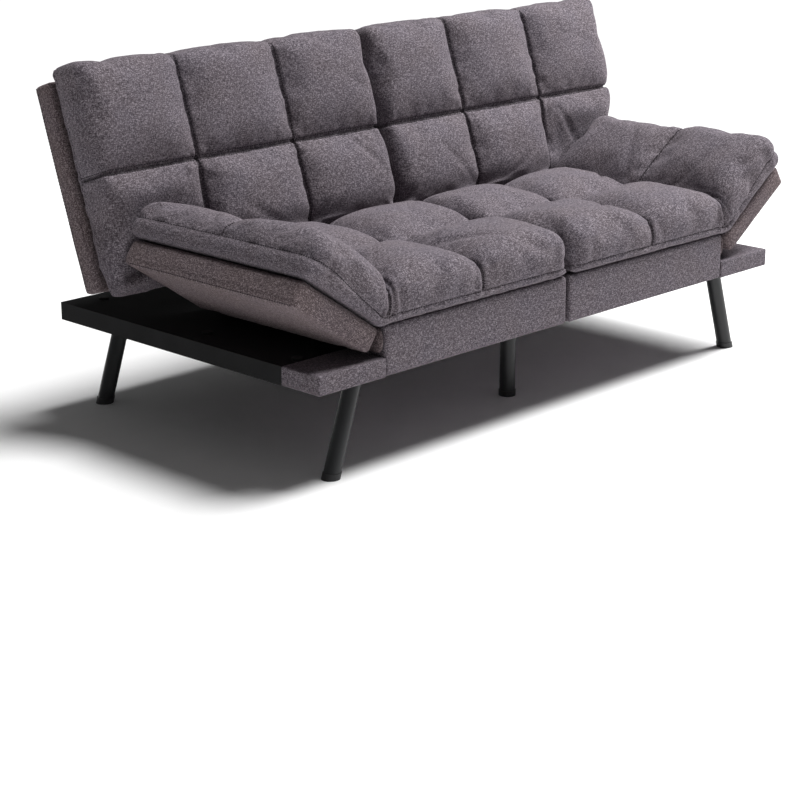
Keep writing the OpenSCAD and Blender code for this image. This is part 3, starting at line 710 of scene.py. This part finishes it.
def stitches(name, piece, flat, paths, pitch):
    """Topstitching: one thread stitch after another, laid on the cover along flat paths."""
    mesh = piece.data
    tree = BVHTree.FromPolygons([Vector(p) for p in flat], [list(f.vertices) for f in mesh.polygons])
    rest = coords_of(piece)
    normal = normals_of(piece)

    def on_cover(point):
        place, _, index, _ = tree.find_nearest(Vector(point))
        ids = list(mesh.polygons[index].vertices)
        weights = np.array(poly_3d_calc([Vector(flat[i]) for i in ids], place))
        up = weights @ normal[ids]
        return weights @ rest[ids], up / max(np.linalg.norm(up), 1e-9)

    length, radius = pitch * 0.76, 0.0010
    points, faces = [], []
    for path in paths:
        path = np.asarray(path, float)
        step = np.linalg.norm(np.diff(path, axis=0), axis=1)
        total = step.sum()
        marks = np.concatenate([[0], np.cumsum(step)])
        for number in range(int(total / pitch)):
            ends = []
            for at in (number * pitch, number * pitch + length):
                ends.append(on_cover([np.interp(at, marks, path[:, axis]) for axis in range(3)]))
            (a, up_a), (b, up_b) = ends
            along = b - a
            size = np.linalg.norm(along)
            if size < 1e-4 or size > pitch * 3:
                continue
            along /= size
            up = up_a + up_b
            up /= max(np.linalg.norm(up), 1e-9)
            across = np.cross(along, up)
            base = len(points)
            for place, lift, scale in ((a, -0.0004, 0.5), (a + along * size * 0.25, 0.0006, 1.0),
                                       (b - along * size * 0.25, 0.0006, 1.0), (b, -0.0004, 0.5)):
                for corner in range(6):
                    turn_by = corner * math.pi / 3
                    points.append(place + up * lift + radius * scale * (
                        across * math.cos(turn_by) + up * math.sin(turn_by)))
            for ring in range(3):
                for corner in range(6):
                    nxt = (corner + 1) % 6
                    faces.append((base + ring * 6 + corner, base + ring * 6 + nxt,
                                  base + ring * 6 + 6 + nxt, base + ring * 6 + 6 + corner))
            faces.append(tuple(base + c for c in reversed(range(6))))
            faces.append(tuple(base + 18 + c for c in range(6)))
    thread = new_piece(name, points, faces, finishes()["thread"])
    recalc(thread)
    return thread


def recalc(piece):
    only(piece)
    bpy.ops.object.mode_set(mode="EDIT")
    bpy.ops.mesh.select_all(action="SELECT")
    bpy.ops.mesh.normals_make_consistent(inside=False)
    bpy.ops.object.mode_set(mode="OBJECT")


def quilt_paths(quilt, gauge=0.0048):
    """Pairs of topstitch lines beside each seam, and one on the welt."""
    paths = []
    top = quilt.seam_z
    for x in quilt.column:
        for offset in (-gauge, gauge):
            front = [(x + offset, quilt.ys[0], z) for z in np.linspace(quilt.welt(x) + 0.004, top, 8)]
            run = [(x + offset, y, top) for y in np.linspace(quilt.ys[0], quilt.ys[-1], 60)]
            paths.append(front + run[1:])
    for y in quilt.row:
        for offset in (-gauge, gauge):
            run = [(x, y + offset, top) for x in np.linspace(quilt.xs[0], quilt.xs[-1], 90)]
            end = [(quilt.xs[-1], y + offset, z) for z in np.linspace(top, quilt.welt(quilt.xs[-1]), 8)]
            paths.append(run + end[1:])
    front = [(x, quilt.ys[0], quilt.welt(x)) for x in np.linspace(quilt.xs[0] + 0.01, quilt.xs[-1], 90)]
    end = [(quilt.xs[-1], y, quilt.welt(quilt.xs[-1])) for y in np.linspace(quilt.ys[0], quilt.ys[-1], 50)]
    paths.append([(float(a), float(b), float(c)) for a, b, c in front + end[1:]])
    return paths


# Distances from each hinge line, along its bisector, between which the mattress turns
ARM_FOLD = (-0.030, 0.030)
BACK_FOLD_RANGE = (0.0, 0.034)

# Soft slanting wrinkles: x, distance from the section's front edge, turn, length and depth
SEAT_WRINKLES = (
    (0.24, 0.10, 0.9, 0.10, 0.0064), (0.42, 0.20, -0.6, 0.08, 0.0048), (0.52, 0.33, 0.7, 0.09, 0.0064),
    (0.70, 0.13, -0.5, 0.10, 0.0072), (0.12, 0.40, -0.8, 0.08, 0.0048), (0.78, 0.36, 0.4, 0.10, 0.0048))
BACK_WRINKLES = (
    (0.10, 0.20, 0.9, 0.07, 0.0064), (0.21, 0.13, -0.7, 0.06, 0.0048), (0.45, 0.10, 0.5, 0.07, 0.0048),
    (0.70, 0.15, -0.9, 0.08, 0.0064), (0.08, 0.36, 0.6, 0.05, 0.0032), (0.80, 0.38, -0.3, 0.06, 0.0032))


def wrinkles(flat, marks, front, width, seam_z):
    """Depth of the wrinkles on the top of a section, as a height to add."""
    x, y, z = flat.T
    out = np.zeros(len(flat))
    for mark_x, mark_y, turn_by, size, depth in marks:
        dx, dy = x - mark_x, y - (front + mark_y)
        along = dx * math.cos(turn_by) + dy * math.sin(turn_by)
        across = -dx * math.sin(turn_by) + dy * math.cos(turn_by)
        out -= depth * np.exp(-(along / size) ** 2 - (across / width) ** 2) * (z > seam_z - 0.01)
    return out


def seat_quilt():
    s = sizes()
    return Quilt([INNER_X + 0.002, s.column_pitch + 0.002, s.column_pitch * 2 + 0.004, 0.912],
                 [SEAT_FRONT - 0.020, SEAT_FRONT + s.seat_row, SEAT_FRONT + 0.548],
                 s.pad_low, s.pad_seam, arm_ease=0.6, arm_flat=(0.2, 0.45))


def back_quilt(side):
    """The back section: the left one is a little shorter than the right, as cut and stuffed by hand."""
    s = sizes()
    pitch = s.column_pitch - 0.006
    return Quilt([INNER_X + 0.002, pitch + 0.002, pitch * 2 + 0.004, 0.891 + side * 0.007],
                 [BACK_PIVOT[0] + 0.004, BACK_START + s.back_row, BACK_END + 0.018],
                 s.pad_low, s.pad_seam + 0.006, open_y=(True, False), power=3.6, welt_rise=0.0,
                 welt_low=0.014)


def hinge_slope():
    """Lean of the line where seat and back cushions meet, forward per metre up."""
    return math.tan(BACK_FOLD / 2)


class FUTON_OT_seat_mattress(bpy.types.Operator):
    """Makes the tufted seat and arm mattress of each half, which bends at the arm hinge"""

    bl_idname = "futon.seat_mattress"
    bl_label = "Seat mattress"

    def execute(self, context):
        s = sizes()
        quilt = seat_quilt()
        slope = hinge_slope()

        def warp(level):
            out = level.copy()
            rear = quilt.ys[-1]
            near = smoothstep((level[:, 1] - rear + 0.16) / 0.16)
            arm = smoothstep((level[:, 0] - 0.56) / 0.08)
            lean = np.clip((level[:, 2] - BACK_PIVOT[1]) * slope, -0.012, 0.2)
            out[:, 1] -= near * ((1 - arm) * (lean - 0.004) - arm * 0.022)
            return out

        for name, side in SIDES:
            seed = 11 if side > 0 else 23

            def creases(flat):
                x, y, z = flat.T
                front = smoothstep(1 - (y - quilt.ys[0]) / 0.17)
                near = np.exp(-((x - quilt.xs[2]) / 0.050) ** 2)
                wave = np.sin((x - quilt.xs[2]) / 0.0130 * math.pi + y * 9 + noise_at(flat, 9.0, seed) * 1.5)
                uneven = 0.55 + 0.45 * noise_at(flat * (40, 14, 8), 1.0, seed + 6)
                out = 0.0052 * wave * near * front * uneven * (z > quilt.welt(x))
                return out + wrinkles(flat, SEAT_WRINKLES, SEAT_FRONT, 0.008, quilt.seam_z)

            piece, flat = blended_quilt(
                f"{name}_seat_mattress", quilt, side, seed, (24, 24), s.crown, 0.012, (0.020, 0.036),
                (ARM_PIVOT, ARM_RISE, (0, 2), *ARM_FOLD), warp, creases)
            thread = stitches(f"{name}_seat_stitching", piece, flat, quilt_paths(quilt), s.stitch)
            for item in (piece, thread):
                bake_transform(item)
            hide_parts(f"{name}_seat_cushion", f"{name}_arm_cushion")
        return {"FINISHED"}


class FUTON_OT_back_mattress(bpy.types.Operator):
    """Makes the tufted back mattress of each half, which bends at the back hinge"""

    bl_idname = "futon.back_mattress"
    bl_label = "Back mattress"

    def execute(self, context):
        s = sizes()
        slope = hinge_slope()

        def warp(level):
            out = level.copy()
            near = smoothstep(1 - (level[:, 1] - quilt.ys[0]) / 0.16)
            out[:, 1] -= near * (level[:, 2] - BACK_PIVOT[1]) * slope
            # The free corners are sewn square, so they stick out a little
            ear = smoothstep((level[:, 0] - 0.77) / 0.12) * smoothstep((level[:, 1] - BACK_END + 0.10) / 0.12)
            out[:, 1] += 0.006 * ear
            # The arm presses into the lower outer corner
            pressed = smoothstep((level[:, 0] - 0.56) / 0.09) * smoothstep(
                1 - (level[:, 1] - quilt.ys[0] - 0.09) / 0.15)
            out[:, 2] -= pressed * 0.054 * smoothstep((level[:, 2] - s.pad_low) / 0.07)
            return out

        for name, side in SIDES:
            seed = 31 if side > 0 else 47
            quilt = back_quilt(side)

            def creases(flat):
                return wrinkles(flat, BACK_WRINKLES, BACK_START, 0.007, quilt.seam_z)

            piece, flat = blended_quilt(
                f"{name}_back_mattress", quilt, side, seed, (24, 20), s.back_crown, 0.005, (0.016, 0.026),
                (BACK_PIVOT, BACK_FOLD, (1, 2), *BACK_FOLD_RANGE), warp, creases, growth=0.014, cap=0.014)
            thread = stitches(f"{name}_back_stitching", piece, flat, quilt_paths(quilt), s.stitch)
            for item in (piece, thread):
                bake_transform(item)
            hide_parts(f"{name}_back_cushion")
        return {"FINISHED"}


# ---------------------------------------------------------------- upholstered panels

def soft_panel(low, high, radius, steps, puff, seed, lump=0.0012):
    """A board wrapped in wadding and cloth: rounded edges and a slight belly."""
    def lines(a, b, count):
        inner = np.linspace(a + radius * 2, b - radius * 2, count)
        return np.concatenate([[a, a + radius * 0.5, a + radius, a + radius * 1.5], inner,
                               [b - radius * 1.5, b - radius, b - radius * 0.5, b]])

    xs, ys, zs = (lines(low[a], high[a], steps[a]) for a in range(3))
    points, faces = shell(xs, ys, zs)
    place, normal = round_box(points, low, high, radius, radius)
    low, high = np.array(low), np.array(high)
    middle = np.ones(len(points))
    for axis in range(3):
        t = (points[:, axis] - low[axis]) / (high[axis] - low[axis])
        flat_here = np.abs(normal[:, axis]) < 0.9
        middle *= np.where(flat_here, 1 - np.abs(2 * t - 1) ** 4, 1)
    lumps = noise_at(points, 9.0, seed) * lump + noise_at(points * (1, 0.4, 1), 40.0, seed + 1) * lump * 0.4
    place = place + normal * ((puff * (middle - 1)) + lumps)[:, None]
    return place, faces


def cut_slots(piece, slots):
    """Cuts room for the hinge straps out of a panel."""
    for low, high in slots:
        centre = [(a + b) / 2 for a, b in zip(low, high)]
        only(piece)
        bpy.ops.object.select_all(action="DESELECT")
        bpy.ops.mesh.primitive_cube_add(size=1, location=centre)
        cutter = bpy.context.active_object
        cutter.scale = [b - a for a, b in zip(low, high)]
        bpy.ops.object.transform_apply(location=True, rotation=False, scale=True)
        modifier = piece.modifiers.new("slot", "BOOLEAN")
        modifier.operation = "DIFFERENCE"
        modifier.solver = "EXACT"
        modifier.object = cutter
        apply_modifiers(piece)
        bpy.data.objects.remove(cutter, do_unlink=True)


def soften_edges(piece):
    piece.data.shade_smooth()
    only(piece)
    bpy.ops.object.shade_smooth_by_angle(angle=math.radians(50))


def hang_panel(piece, lines, pivot, angle, plane, side, body):
    """Stitches a level panel, turns it to its place at rest and ties it to its body."""
    thread = stitches(f"{piece.name}_stitching", piece, coords_of(piece), lines, sizes().stitch)
    for item in (piece, thread):
        points = turn(coords_of(item), pivot, np.full(len(item.data.vertices), angle), plane)
        if side < 0:
            points = points * (-1, 1, 1)
        set_coords(item, points)
        if side < 0:
            item.data.flip_normals()
        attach(item, body)
    soften_edges(piece)
    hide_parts(f"{body}_cover")


class FUTON_OT_arm_panels(bpy.types.Operator):
    """Upholsters the two arm panels"""

    bl_idname = "futon.arm_panels"
    bl_label = "Arm panels"

    def execute(self, context):
        low = (ARM_IN, SEAT_FRONT, PANEL_LOW)
        high = (ARM_OUT, ARM_REAR, BOX_TOP)
        for name, side in SIDES:
            place, faces = soft_panel(low, high, PANEL_EDGE, (16, 34, 5), PANEL_PUFF, 5 + side)
            # The rear end is wadded round
            across = (place[:, 2] * 2 - PANEL_LOW - BOX_TOP) / (BOX_TOP - PANEL_LOW)
            place[:, 1] += 0.004 * (1 - across ** 2) * smoothstep((place[:, 1] - ARM_REAR + 0.02) / 0.02)
            piece = new_piece(f"{name}_arm_panel", place, faces, finishes()["linen_painted_shade"])
            slots = [((ARM_IN - 0.02, y - STRAP_ROOM, PANEL_LOW - 0.02),
                      (ARM_PIVOT[0] + 0.0185, y + STRAP_ROOM, BOX_TOP + 0.02)) for y in ARM_STATIONS]
            cut_slots(piece, slots)
            lay_uv(piece)
            seam_x, seam_z = ARM_OUT - 0.006, PANEL_LOW + 0.003
            lines = [[(seam_x, y, seam_z) for y in np.linspace(low[1] + 0.012, high[1] - 0.012, 60)]]
            hang_panel(piece, lines, ARM_PIVOT, ARM_RISE, (0, 2), side, f"{name}_arm")
        return {"FINISHED"}


class FUTON_OT_back_panels(bpy.types.Operator):
    """Upholsters the two back panels"""

    bl_idname = "futon.back_panels"
    bl_label = "Back panels"

    def execute(self, context):
        low = (INNER_X, BACK_START, PANEL_LOW)
        high = (BACK_OUT, BACK_END, BOX_TOP)
        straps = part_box("right_back_hinge_straps")
        for name, side in SIDES:
            place, faces = soft_panel(low, high, PANEL_EDGE, (40, 26, 5), PANEL_PUFF, 8 + side)
            piece = new_piece(f"{name}_back_panel", place, faces, finishes()["linen_painted_shade"])
            slots = []
            for x in (straps[0][0], straps[1][0] - 0.004):
                slots.append(((x - 0.003, BACK_START - 0.02, PANEL_LOW - 0.02),
                              (x + 0.007, BACK_PIVOT[0] + 0.087, BOX_TOP + 0.02)))
            cut_slots(piece, slots)
            lay_uv(piece)
            seam_z = PANEL_LOW + 0.016
            top_run = np.linspace(INNER_X + 0.02, BACK_OUT - PANEL_EDGE, 60)
            end_run = np.linspace(BACK_START + 0.02, BACK_END - PANEL_EDGE, 40)
            lines = [[(x, BACK_END, seam_z) for x in top_run], [(BACK_OUT, y, seam_z) for y in end_run]]
            hang_panel(piece, lines, BACK_PIVOT, BACK_FOLD, (1, 2), side, f"{name}_back")
        return {"FINISHED"}


def wrapped_box(name, node_name, grow, radius, steps, seed):
    """A cloth-wrapped box in the place of a CAD node, with soft corners."""
    low, high = (list(p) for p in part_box(node_name))
    side = 1 if low[0] + high[0] > 0 else -1
    if side < 0:
        low[0], high[0] = -high[0], -low[0]
    low = [a - b for a, b in zip(low, grow[0])]
    high = [a + b for a, b in zip(high, grow[1])]
    place, faces = soft_panel(low, high, radius, steps, 0.0, seed, 0.0004)
    place, faces = mirror_half(place, faces, side)
    piece = new_piece(name, place, faces, finishes()["linen"])
    lay_uv(piece)
    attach(piece, "base")
    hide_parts(node_name)
    soften_edges(piece)


class FUTON_OT_seat_skirts(bpy.types.Operator):
    """Covers the two seat boxes and the front ends of the ledges in cloth"""

    bl_idname = "futon.seat_skirts"
    bl_label = "Seat skirts and ledge wraps"

    def execute(self, context):
        for name, side in SIDES:
            wrapped_box(f"{name}_seat_skirt", f"{name}_seat_apron",
                        ((0, 0, 0), (0, 0, 0.0014)), 0.008, (46, 36, 8), 3 + side)
            wrapped_box(f"{name}_ledge_wrap", f"{name}_front_wrap",
                        ((0, 0.0008, 0.0008), (0.0008, 0.006, 0.0008)), 0.004, (16, 12, 5), 13 + side)
        return {"FINISHED"}


class FUTON_OT_gussets(bpy.types.Operator):
    """Makes the gathered cloth gussets between the arm panels and the seat box"""

    bl_idname = "futon.gussets"
    bl_label = "Arm gussets"

    def execute(self, context):
        for name, side in SIDES:
            low, high = (list(p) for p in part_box(f"{name}_arm_gussets"))
            if side < 0:
                low[0], high[0] = -high[0], -low[0]
            rounds, steps = 40, 110
            points, faces = [], []
            mid = ((low[0] + high[0]) / 2 + 0.001, (low[2] + high[2]) / 2)
            half = ((high[0] - low[0]) / 2 + 0.0015, (high[2] - low[2]) / 2)
            for j in range(steps + 1):
                t = j / steps
                y = low[1] + (high[1] - low[1]) * t
                from_end = min(t, 1 - t)
                end = 1.0
                if from_end < GUSSET_TIP:
                    end = math.sqrt(max(0.0, 1 - (1 - from_end / GUSSET_TIP) ** 2))
                for i in range(rounds):
                    a = 2 * math.pi * i / rounds
                    gather = 1 + 0.10 * noise.noise(Vector((a * 3, y * 60, side * 3)))
                    points.append((mid[0] + half[0] * end * gather * math.cos(a), y,
                                   mid[1] + half[1] * end * gather * math.sin(a) * 0.97))
            for j in range(steps):
                for i in range(rounds):
                    n = (i + 1) % rounds
                    faces.append((j * rounds + i, (j + 1) * rounds + i, (j + 1) * rounds + n, j * rounds + n))
            faces.append(tuple(range(rounds)))
            faces.append(tuple(steps * rounds + i for i in reversed(range(rounds))))
            points, faces = mirror_half(np.array(points), faces, side)
            piece = new_piece(f"{name}_arm_gusset", points, faces, finishes()["linen_painted_shade"])
            recalc(piece)
            lay_uv(piece)
            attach(piece, "base")
            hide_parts(f"{name}_arm_gussets")
        return {"FINISHED"}


class FUTON_OT_dust_covers(bpy.types.Operator):
    """Stretches the black dust cloth under each half"""

    bl_idname = "futon.dust_covers"
    bl_label = "Dust covers"

    def execute(self, context):
        for name, side in SIDES:
            low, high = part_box(f"{name}_dust_cover")
            nx, ny = 60, 64
            thick = 0.0012
            points, faces = [], []
            for layer in (0, 1):
                for j in range(ny + 1):
                    for i in range(nx + 1):
                        u, v = i / nx, j / ny
                        x = low[0] + (high[0] - low[0]) * u
                        y = low[1] + (high[1] - low[1]) * v
                        ripple = 0.0004 * noise.noise(Vector((x * 14, y * 14, side)))
                        points.append((x, y, low[2] + 0.0004 + layer * thick + ripple))
            count = (nx + 1) * (ny + 1)
            for j in range(ny):
                for i in range(nx):
                    a = j * (nx + 1) + i
                    faces.append((a, a + nx + 1, a + nx + 2, a + 1))
                    b = a + count
                    faces.append((b, b + 1, b + nx + 2, b + nx + 1))
            row = nx + 1
            ring = list(range(row))
            ring += [j * row + nx for j in range(1, ny + 1)]
            ring += [ny * row + i for i in range(nx - 1, -1, -1)]
            ring += [j * row for j in range(ny - 1, 0, -1)]
            for a, b in zip(ring, ring[1:] + ring[:1]):
                faces.append((a, b, b + count, a + count))
            piece = new_piece(f"{name}_dust_cloth", points, faces, finishes()["dust"], smooth=False)
            recalc(piece)
            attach(piece, "base")
            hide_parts(f"{name}_dust_cover")
        return {"FINISHED"}


class FUTON_OT_hard_finishes(bpy.types.Operator):
    """Gives each carried-over frame node its finish"""

    bl_idname = "futon.hard_finishes"
    bl_label = "Frame finishes"

    def execute(self, context):
        # The tray frame and the panel cores get the near-black timber, painted shade where they show through
        # gaps
        rules = (("ledge_cover", "board"), ("tray_frame", "pine_painted_gap_shade"), ("seat_frame", "pine"),
                 ("slats", "slat"), ("_core", "pine_painted_gap_shade"), ("caps", "cap"), ("bumpers", "rubber"),
                 ("_leg", "powder"), ("leg_plates", "powder"), ("screws", "zinc"), ("join_", "zinc"),
                 ("hinge", "hinge"))
        for node_name, node in NODES.items():
            match = [finish for part, finish in rules if part in node_name]
            finish = finishes()[match[0] if match else "linen_painted_shade"]
            node.data.materials.clear()
            node.data.materials.append(finish)
        return {"FINISHED"}


# ---------------------------------------------------------------- studio

class FUTON_OT_stage(bpy.types.Operator):
    """Sets the pale floor, the soft studio lights and the camera"""

    bl_idname = "futon.stage"
    bl_label = "Studio"

    def lamp(self, name, kind, place, aim, spread, power):
        """A light at a place aimed at a point: spread is a sun's angle or a softbox's width."""
        data = bpy.data.lights.new(name, kind)
        data.energy = power
        if kind == "SUN":
            data.angle = spread
        else:
            data.shape = "SQUARE"
            data.size = spread
        light = bpy.data.objects.new(name, data)
        bpy.context.scene.collection.objects.link(light)
        light.location = place
        light.rotation_euler = (Vector(aim) - Vector(place)).to_track_quat("-Z", "Y").to_euler()

    def execute(self, context):
        bpy.ops.object.select_all(action="DESELECT")
        bpy.ops.mesh.primitive_plane_add(size=120, location=(0, 0, 0))
        floor = bpy.context.active_object
        floor.name = "studio_floor"
        # Matt painted floor: pale, with a faint roller texture
        paint = coated("Matt white studio floor", colours().floor, 0.8, 6.0, 0.05, vary=0.01)
        floor.data.materials.append(paint)
        bpy.ops.object.transform_apply(location=True, rotation=True, scale=True)

        world = bpy.data.worlds.new("studio")
        context.scene.world = world
        world.use_nodes = True
        tree = world.node_tree
        tree.nodes.clear()
        # The walls light the object dimly, and are seen as white as the floor
        walls = [add(tree, "ShaderNodeBackground", Color=(1.0, 1.0, 1.0, 1.0), Strength=strength)
                 for strength in (0.11, 1.0)]
        path = add(tree, "ShaderNodeLightPath")
        chosen = add(tree, "ShaderNodeMixShader", {0: path.outputs["Is Camera Ray"],
                                                   1: walls[0].outputs[0], 2: walls[1].outputs[0]})
        add(tree, "ShaderNodeOutputWorld", {"Surface": chosen.outputs[0]})
        context.scene.view_settings.view_transform = "Standard"

        # Overhead scrim: even light on the whole floor
        self.lamp("overhead_scrim", "SUN", (1.6, -0.9, 5.0), (0, 0, 0), math.radians(24), 3.75)
        # A softbox near the right end, so that the left end falls off
        self.lamp("right_softbox", "AREA", (2.4, -0.7, 2.3), (0.4, 0.1, 0.4), 0.9, 70)

        lens = bpy.data.cameras.new("studio_camera")
        lens.sensor_width = 36
        lens.lens = 36 * 2048.8 / 800
        lens.clip_end = 200
        camera = bpy.data.objects.new("studio_camera", lens)
        context.scene.collection.objects.link(camera)
        camera.location = (-3.577, -2.930 - 0.4275, 1.481)
        camera.rotation_euler = (math.radians(90 - 17.519), 0, math.radians(-45.826))
        context.scene.camera = camera
        return {"FINISHED"}


OPERATORS = (FUTON_OT_stage, FUTON_OT_hard_finishes, FUTON_OT_seat_mattress, FUTON_OT_back_mattress,
             FUTON_OT_arm_panels, FUTON_OT_back_panels, FUTON_OT_seat_skirts, FUTON_OT_gussets,
             FUTON_OT_dust_covers)


class FUTON_PT_panel(bpy.types.Panel):
    """Lists the steps that finish the futon"""

    bl_idname = "FUTON_PT_panel"
    bl_label = "Futon Sofa Bed"
    bl_space_type = "VIEW_3D"
    bl_region_type = "UI"
    bl_category = "Futon"

    def draw(self, context):
        column = self.layout.column()
        for group in (context.scene.futon_sizes, context.scene.futon_colours):
            for key in group.bl_rna.properties.keys():
                if key not in {"rna_type", "name"}:
                    column.prop(group, key)
        for operator in OPERATORS:
            column.operator(operator.bl_idname)


CLASSES = (FutonSizes, FutonColours, *OPERATORS, FUTON_PT_panel)


def register():
    for item in CLASSES:
        bpy.utils.register_class(item)
    bpy.types.Scene.futon_sizes = bpy.props.PointerProperty(type=FutonSizes)
    bpy.types.Scene.futon_colours = bpy.props.PointerProperty(type=FutonColours)


def unregister():
    del bpy.types.Scene.futon_sizes
    del bpy.types.Scene.futon_colours
    for item in reversed(CLASSES):
        bpy.utils.unregister_class(item)


def main():
    register()
    for operator in OPERATORS:
        group, name = operator.bl_idname.split(".")
        getattr(getattr(bpy.ops, group), name)()


if __name__ == "__main__":
    main()
